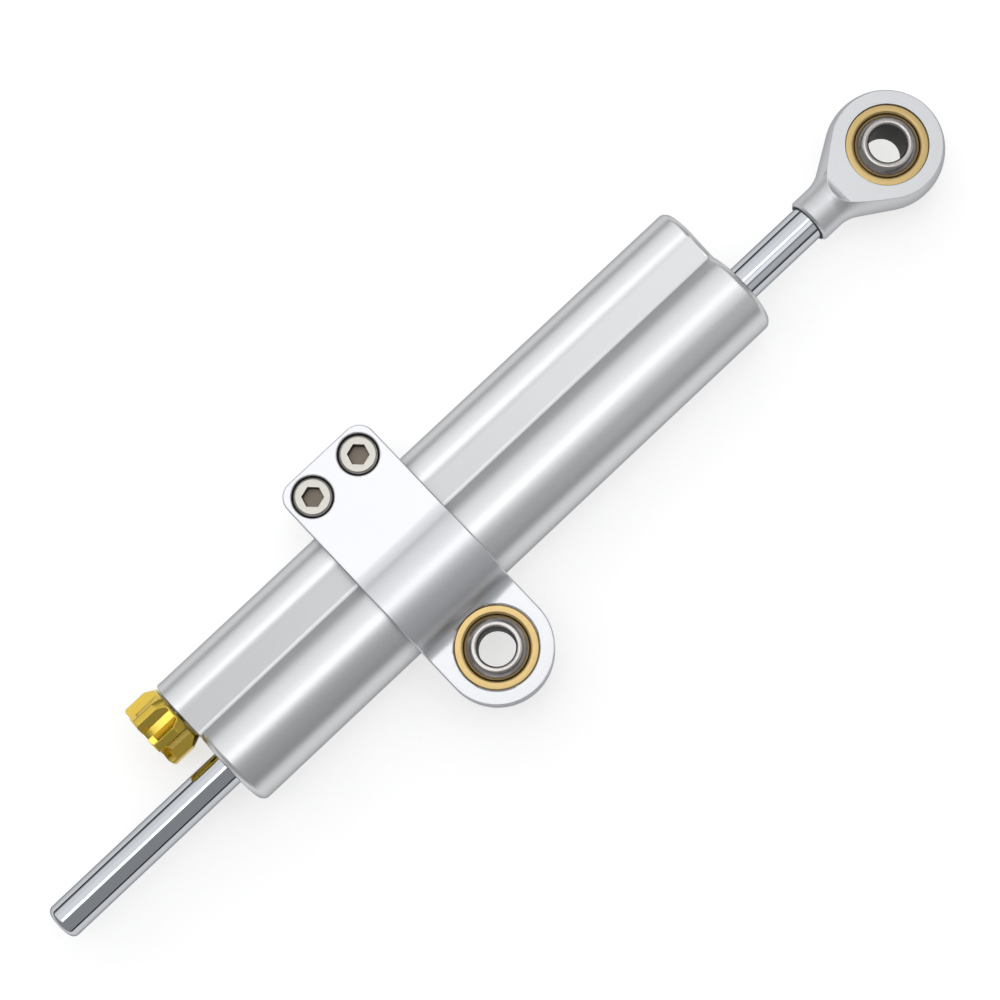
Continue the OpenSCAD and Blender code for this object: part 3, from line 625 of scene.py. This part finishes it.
class DAMPER_OT_ball_joints(bpy.types.Operator):
    """Both ball joints: the balls with their bores and the races round them."""
    bl_idname = "damper.ball_joints"
    bl_label = "Ball joints"

    def execute(self, context):
        sizes = context.scene.damper.sizes
        # Painted shade inside the balls' bores: a dull, dark colour, so the bolt's hole reads as a hole
        bore = finish(
            "bearing_steel_painted_shade_bore", context.scene.damper.colours.bore, rough=0.6, grain=0.3,
            depth=0.0005, stretch=(1, 1, 6), metallic=0.0, shade=0.06, rough_spread=0.04,
            Specular_IOR_Level=0.2)
        ball_end = math.sqrt(BALL_R ** 2 - BALL_HALF ** 2)
        seat_r = BALL_R + RUNNING_FIT
        seat_half = RACE_HALF - LEAD
        mouth = math.sqrt(seat_r ** 2 - seat_half ** 2)
        ball_points = [
            (BORE_R + LEAD, BALL_HALF), (BORE_R, BALL_HALF - LEAD), (BORE_R, -BALL_HALF + LEAD),
            (BORE_R + LEAD, -BALL_HALF)]
        race_points = [
            (mouth + LEAD, RACE_HALF), (RACE_R, RACE_HALF), (RACE_R, -RACE_HALF),
            (mouth + LEAD, -RACE_HALF)]
        joints = (
            ("clamp_eye", Vector((0, 0, 0)), "clamp", "clamp_ball"),
            ("rod_eye", Vector((EYE_X, ROD_Y, 0)), "rod", "rod_ball"))
        for name, centre, race_body, ball_body in joints:
            bm = ball_or_race(centre, BALL_HALF, ball_end, ball_points, sizes.turn_steps)
            soften(bm, sharp(bm, BALL_HARD), sizes.ball_edge, segments=2)
            # The bores' faces get the painted shade
            for face in bm.faces:
                middle = face.calc_center_median() - centre
                face.material_index = int(math.hypot(middle.x, middle.y) < BORE_FACE_R)
            piece(bm, name + "_ground_ball", ball_body, "ball_steel", [name + "_ball"], bore)
            bm = ball_or_race(centre, seat_half, mouth, race_points, sizes.turn_steps)
            soften(bm, sharp(bm, TURNED_HARD), sizes.race_edge, segments=3)
            piece(bm, name + "_gold_race", race_body, "race_brass", [name + "_race"])
        return {"FINISHED"}


class DAMPER_OT_clamp(bpy.types.Operator):
    """Clamp block with softened edges, and its two screws."""
    bl_idname = "damper.clamp"
    bl_label = "Clamp"

    def execute(self, context):
        sizes = context.scene.damper.sizes
        bm = merged_copy("clamp")
        # The race's seat keeps its narrow chamfer
        free = [
            e for e in sharp(bm, MILLED_HARD)
            if max(math.hypot(v.co.x, v.co.y) for v in e.verts) >= SEAT_R]
        soften(bm, free, sizes.clamp_edge, segments=3)
        piece(bm, "clamp_block", "clamp", "clamp_aluminium", ["clamp"])
        bm = merged_copy("clamp_screws")
        soften(bm, sharp(bm, MILLED_HARD), sizes.small_edge, segments=2)
        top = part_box("clamp_screws")[1].z
        # The faces down in the sockets get the painted shade
        for face in bm.faces:
            middle = face.calc_center_median()
            from_axis = math.hypot(abs(middle.x) - SCREW_X, middle.y - SCREW_Y)
            face.material_index = int(
                from_axis < SOCKET_R and top - SOCKET_DEPTH < middle.z < top - sizes.small_edge)
        # Painted shade down in the sockets: the same steel, duller and darker
        socket = finish(
            "zinc_plated_steel_socket_painted_shade", context.scene.damper.colours.socket, rough=0.4, grain=0.2,
            depth=0.0004, shade=0.12, cloud=2)
        piece(bm, "socket_head_screws", "clamp", "screw_steel", ["clamp_screws"], socket)
        return {"FINISHED"}


class DAMPER_OT_knob(bpy.types.Operator):
    """Fluted knob with softened edges, and the screw in its end."""
    bl_idname = "damper.knob"
    bl_label = "Knob"

    def execute(self, context):
        sizes = context.scene.damper.sizes
        rounded_copy("adjuster_knob", "fluted_knob", "knob", "knob_gold", sizes.knob_edge)
        rounded_copy("knob_screw", "knob_end_screw", "knob", "screw_steel", sizes.small_edge)
        return {"FINISHED"}


class DAMPER_OT_ends(bpy.types.Operator):
    """What shows in the body's ends: clips, wipers and the plug of the small tube."""
    bl_idname = "damper.ends"
    bl_label = "Body ends"

    def execute(self, context):
        sizes = context.scene.damper.sizes
        for source, name, slot, width in (
                ("circlip_left", "left_spring_clip", "clip_steel", sizes.small_edge),
                ("circlip_right", "right_spring_clip", "clip_steel", sizes.small_edge),
                ("tube_end_plug", "small_tube_plug", "piston_aluminium", sizes.small_edge),
                ("rod_wiper_left", "left_wiper_lip", "seal_rubber", sizes.wiper_edge),
                ("rod_wiper_right", "right_wiper_lip", "seal_rubber", sizes.wiper_edge)):
            rounded_copy(source, name, "body", slot, width)
        return {"FINISHED"}


class DAMPER_OT_inside(bpy.types.Operator):
    """Finishes on the pieces whose CAD shape stays."""
    bl_idname = "damper.inside"
    bl_label = "Inner pieces"

    def execute(self, context):
        slots = {
            "guide_bronze": ["rod_guide_left", "rod_guide_right"],
            "seal_rubber": [
                "guide_o_ring_left", "guide_o_ring_right", "rod_seal_left", "rod_seal_right",
                "cartridge_o_rings", "end_plug_o_ring", "spindle_o_ring"],
            "valve_brass": ["valve_cartridge"],
            "valve_steel": ["adjuster_spindle", "needle"],
            "piston_aluminium": ["piston"],
            "clip_steel": ["piston_clips"],
            "band_plastic": ["piston_band"],
        }
        for slot, names in slots.items():
            for name in names:
                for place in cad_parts[name].material_slots:
                    place.material = finishes()[slot]
        return {"FINISHED"}


STEPS = ("stage", "body", "rod", "rod_eye", "ball_joints", "clamp", "knob", "ends", "inside")


class DAMPER_PT_panel(bpy.types.Panel):
    """The steps in the order in which the script runs them."""
    bl_label = "Steering damper"
    bl_idname = "DAMPER_PT_panel"
    bl_space_type = "VIEW_3D"
    bl_region_type = "UI"
    bl_category = "Damper"

    def draw(self, context):
        for name in STEPS:
            self.layout.operator("damper." + name)


CLASSES = (
    DamperSizes, DamperColours, DamperStudio, DamperSettings,
    DAMPER_OT_stage, DAMPER_OT_body, DAMPER_OT_rod, DAMPER_OT_rod_eye, DAMPER_OT_ball_joints,
    DAMPER_OT_clamp, DAMPER_OT_knob, DAMPER_OT_ends, DAMPER_OT_inside, DAMPER_PT_panel,
)


def register():
    for made in CLASSES:
        bpy.utils.register_class(made)
    bpy.types.Scene.damper = bpy.props.PointerProperty(type=DamperSettings)


def unregister():
    del bpy.types.Scene.damper
    for made in reversed(CLASSES):
        bpy.utils.unregister_class(made)


def main():
    register()
    for name in STEPS:
        getattr(bpy.ops.damper, name)()


if __name__ == "__main__":
    main()
